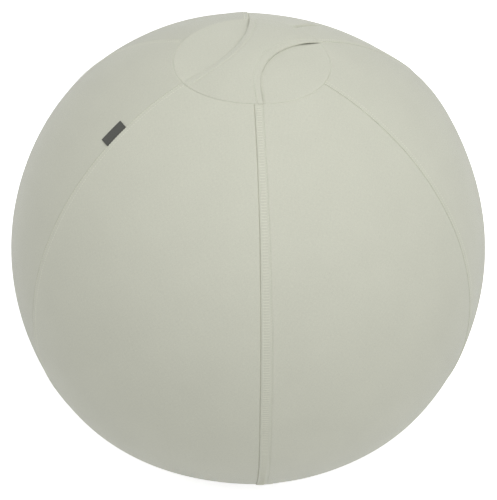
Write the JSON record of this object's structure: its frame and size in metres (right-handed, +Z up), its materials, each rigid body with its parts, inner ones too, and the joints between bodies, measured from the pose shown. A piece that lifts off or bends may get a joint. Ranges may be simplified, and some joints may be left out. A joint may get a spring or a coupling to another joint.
{
  "type": "sitting ball",
  "caption": "Inflated sitting ball in a gored cloth cover with a carrying handle across its top panel, a zipped base seam and a flat anti-slip sole.",
  "frame": {"origin": "on the floor, under the middle of the ball", "axes": "+Z up, -Y towards the handle's front end, +X to the right seen from that end"},
  "size_m": [0.65, 0.6499, 0.6451],
  "materials": {
    "cover_cloth": "pale sage grey fine weave with a faint melange",
    "binding_tape": "plain tape",
    "base_cloth": "coated dark grey cloth",
    "sole_rubber": "matt rubber",
    "sand_filling": "bagged sand",
    "bladder_vinyl": "smooth vinyl",
    "valve_plastic": "moulded",
    "zip_tape": "woven tape",
    "zip_coil": "nylon coil",
    "zip_metal": "satin grey",
    "tag_tape": "woven dark tape"
  },
  "bodies": {
    "ball": {"gore_front": "cover_cloth", "gore_front_right": "cover_cloth", "gore_rear_right": "cover_cloth", "gore_rear": "cover_cloth", "gore_rear_left": "cover_cloth", "gore_front_left": "cover_cloth", "seam_binding_front_right": "binding_tape", "seam_binding_right": "binding_tape", "seam_binding_rear_right": "binding_tape", "seam_binding_rear_left": "binding_tape", "seam_binding_left": "binding_tape", "seam_binding_front_left": "binding_tape", "top_panel": "cover_cloth", "handle_front_tail": "cover_cloth", "handle_rear_tail": "cover_cloth", "ring_binding": "binding_tape", "base_binding": "binding_tape", "base_panel": "base_cloth", "base_sole": "sole_rubber", "ballast_pad": "sand_filling", "bladder": "bladder_vinyl", "valve_seat": "valve_plastic", "valve_plug": "valve_plastic", "zip_upper_tape": "zip_tape", "zip_lower_tape": "zip_tape", "zip_upper_coil": "zip_coil", "zip_lower_coil": "zip_coil", "zip_start_stop": "zip_metal", "zip_end_stop": "zip_metal"},
    "handle": {"handle_grip": "cover_cloth"},
    "slider": {"zip_slider": "zip_metal"},
    "pull": {"zip_pull": "zip_metal"},
    "tag": {"side_tag": "tag_tape"}
  },
  "joints": [
    {"name": "handle_lift", "type": "slide", "parent": "ball", "child": "handle", "axis": [0, 0, 1], "range_m": [0, 0.025], "deforming": ["handle_front_tail", "handle_rear_tail"]},
    {"name": "zip_run", "type": "hinge", "parent": "ball", "child": "slider", "pos_m": [0, 0, 0.0422], "axis": [0, 0, 1], "range_deg": [0, 168]},
    {"name": "pull_swing", "type": "hinge", "parent": "slider", "child": "pull", "pos_m": [0.17108, 0.01688, 0.03914], "axis": [0.8482, 0.0837, 0.5231], "range_deg": [-85, 85]},
    {"name": "tag_flip", "type": "hinge", "parent": "ball", "child": "tag", "pos_m": [-0.09549, -0.1634, 0.58456], "axis": [0.4071, 0.705, 0.5807], "range_deg": [0, 150]}
  ]
}
